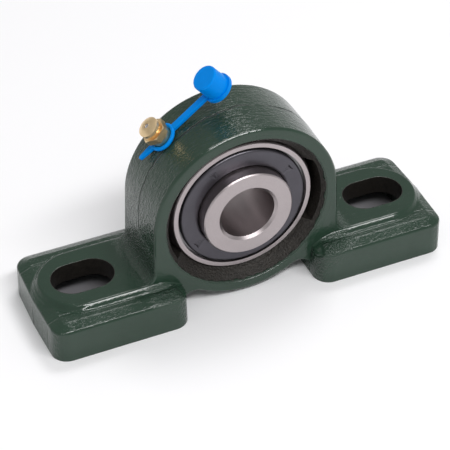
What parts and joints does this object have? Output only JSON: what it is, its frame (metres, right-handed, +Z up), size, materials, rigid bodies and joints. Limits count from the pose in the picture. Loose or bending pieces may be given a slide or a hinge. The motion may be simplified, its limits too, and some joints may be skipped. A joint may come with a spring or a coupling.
{
  "type": "pillow block bearing",
  "caption": "Cast pillow block on two slotted feet, holding a self-aligning sealed ball bearing insert that clamps a shaft with set screws; grease nipple with tethered dust cap.",
  "frame": {"origin": "on the base plane, midway between the bolt slots and under the shaft axis", "axes": "+X along the base, +Y along the shaft towards the insert's long side, +Z up"},
  "size_m": [0.127, 0.038, 0.0733],
  "materials": {
    "painted_casting": "glossy dark green enamel over a rough casting",
    "ground_steel": "ground bearing steel",
    "flinger_steel": "satin pressed steel, darkened",
    "seal_steel": "pressed steel",
    "seal_rubber": "black nitrile",
    "ball_steel": "polished",
    "cage_plastic": "natural polyamide",
    "screw_steel": "black oxide",
    "nipple_brass": "turned brass",
    "spring_steel": "drawn wire",
    "cap_plastic": "blue polyethylene"
  },
  "bodies": {
    "housing": {"housing": "painted_casting", "grease_nipple": "nipple_brass"},
    "insert": {"outer_ring": "ground_steel", "front_seal_plate": "seal_steel", "rear_seal_plate": "seal_steel", "front_seal_lip": "seal_rubber", "rear_seal_lip": "seal_rubber"},
    "inner_ring": {"inner_ring": "ground_steel", "front_flinger": "flinger_steel", "rear_flinger": "flinger_steel"},
    "left_set_screw": {"left_set_screw": "screw_steel"},
    "right_set_screw": {"right_set_screw": "screw_steel"},
    "cage": {"cage": "cage_plastic"},
    "ball_1": {"ball_1": "ball_steel"},
    "ball_2": {"ball_2": "ball_steel"},
    "ball_3": {"ball_3": "ball_steel"},
    "ball_4": {"ball_4": "ball_steel"},
    "ball_5": {"ball_5": "ball_steel"},
    "ball_6": {"ball_6": "ball_steel"},
    "ball_7": {"ball_7": "ball_steel"},
    "ball_8": {"ball_8": "ball_steel"},
    "check_ball": {"nipple_check_ball": "ball_steel", "nipple_spring": "spring_steel"},
    "dust_cap": {"dust_cap": "cap_plastic"}
  },
  "joints": [
    {"name": "insert_swivel", "type": "hinge", "parent": "housing", "child": "insert", "pos_m": [0, 0, 0.0302], "axis": [1, 0, 0], "range_deg": [-5, 5]},
    {"name": "shaft_spin", "type": "hinge", "parent": "insert", "child": "inner_ring", "pos_m": [0, 0, 0.0302], "axis": [0, 1, 0], "continuous": true},
    {"name": "cage_orbit", "type": "hinge", "parent": "insert", "child": "cage", "pos_m": [0, 0, 0.0302], "axis": [0, 1, 0], "continuous": true},
    {"name": "ball_1_spin", "type": "hinge", "parent": "cage", "child": "ball_1", "pos_m": [0, 0, 0.04695], "axis": [0, 1, 0], "continuous": true},
    {"name": "ball_2_spin", "type": "hinge", "parent": "cage", "child": "ball_2", "pos_m": [0.01184, 0, 0.04204], "axis": [0, 1, 0], "continuous": true},
    {"name": "ball_3_spin", "type": "hinge", "parent": "cage", "child": "ball_3", "pos_m": [0.01675, 0, 0.0302], "axis": [0, 1, 0], "continuous": true},
    {"name": "ball_4_spin", "type": "hinge", "parent": "cage", "child": "ball_4", "pos_m": [0.01184, 0, 0.01836], "axis": [0, 1, 0], "continuous": true},
    {"name": "ball_5_spin", "type": "hinge", "parent": "cage", "child": "ball_5", "pos_m": [0, 0, 0.01345], "axis": [0, 1, 0], "continuous": true},
    {"name": "ball_6_spin", "type": "hinge", "parent": "cage", "child": "ball_6", "pos_m": [-0.01184, 0, 0.01836], "axis": [0, 1, 0], "continuous": true},
    {"name": "ball_7_spin", "type": "hinge", "parent": "cage", "child": "ball_7", "pos_m": [-0.01675, 0, 0.0302], "axis": [0, 1, 0], "continuous": true},
    {"name": "ball_8_spin", "type": "hinge", "parent": "cage", "child": "ball_8", "pos_m": [-0.01184, 0, 0.04204], "axis": [0, 1, 0], "continuous": true},
    {"name": "left_screw_thread", "type": "slide", "parent": "inner_ring", "child": "left_set_screw", "axis": [-0.515, 0, 0.8572], "range_m": [-0.0001, 0.0045]},
    {"name": "right_screw_thread", "type": "slide", "parent": "inner_ring", "child": "right_set_screw", "axis": [0.515, 0, 0.8572], "range_m": [-0.0001, 0.0045]},
    {"name": "check_ball_lift", "type": "slide", "parent": "housing", "child": "check_ball", "axis": [0.6561, 0, -0.7547], "range_m": [0, 0.0008], "stiffness_N_per_m": 1000},
    {"name": "dust_cap_swivel", "type": "hinge", "parent": "housing", "child": "dust_cap", "pos_m": [-0.01922, 0.0038, 0.05231], "axis": [-0.6561, 0, 0.7547], "continuous": true}
  ],
  "couplings": [
    {"joint": "cage_orbit", "follows": "shaft_spin", "ratio": 0.38152},
    {"joint": "ball_1_spin", "follows": "shaft_spin", "ratio": -1.9916},
    {"joint": "ball_2_spin", "follows": "shaft_spin", "ratio": -1.9916},
    {"joint": "ball_3_spin", "follows": "shaft_spin", "ratio": -1.9916},
    {"joint": "ball_4_spin", "follows": "shaft_spin", "ratio": -1.9916},
    {"joint": "ball_5_spin", "follows": "shaft_spin", "ratio": -1.9916},
    {"joint": "ball_6_spin", "follows": "shaft_spin", "ratio": -1.9916},
    {"joint": "ball_7_spin", "follows": "shaft_spin", "ratio": -1.9916},
    {"joint": "ball_8_spin", "follows": "shaft_spin", "ratio": -1.9916}
  ]
}
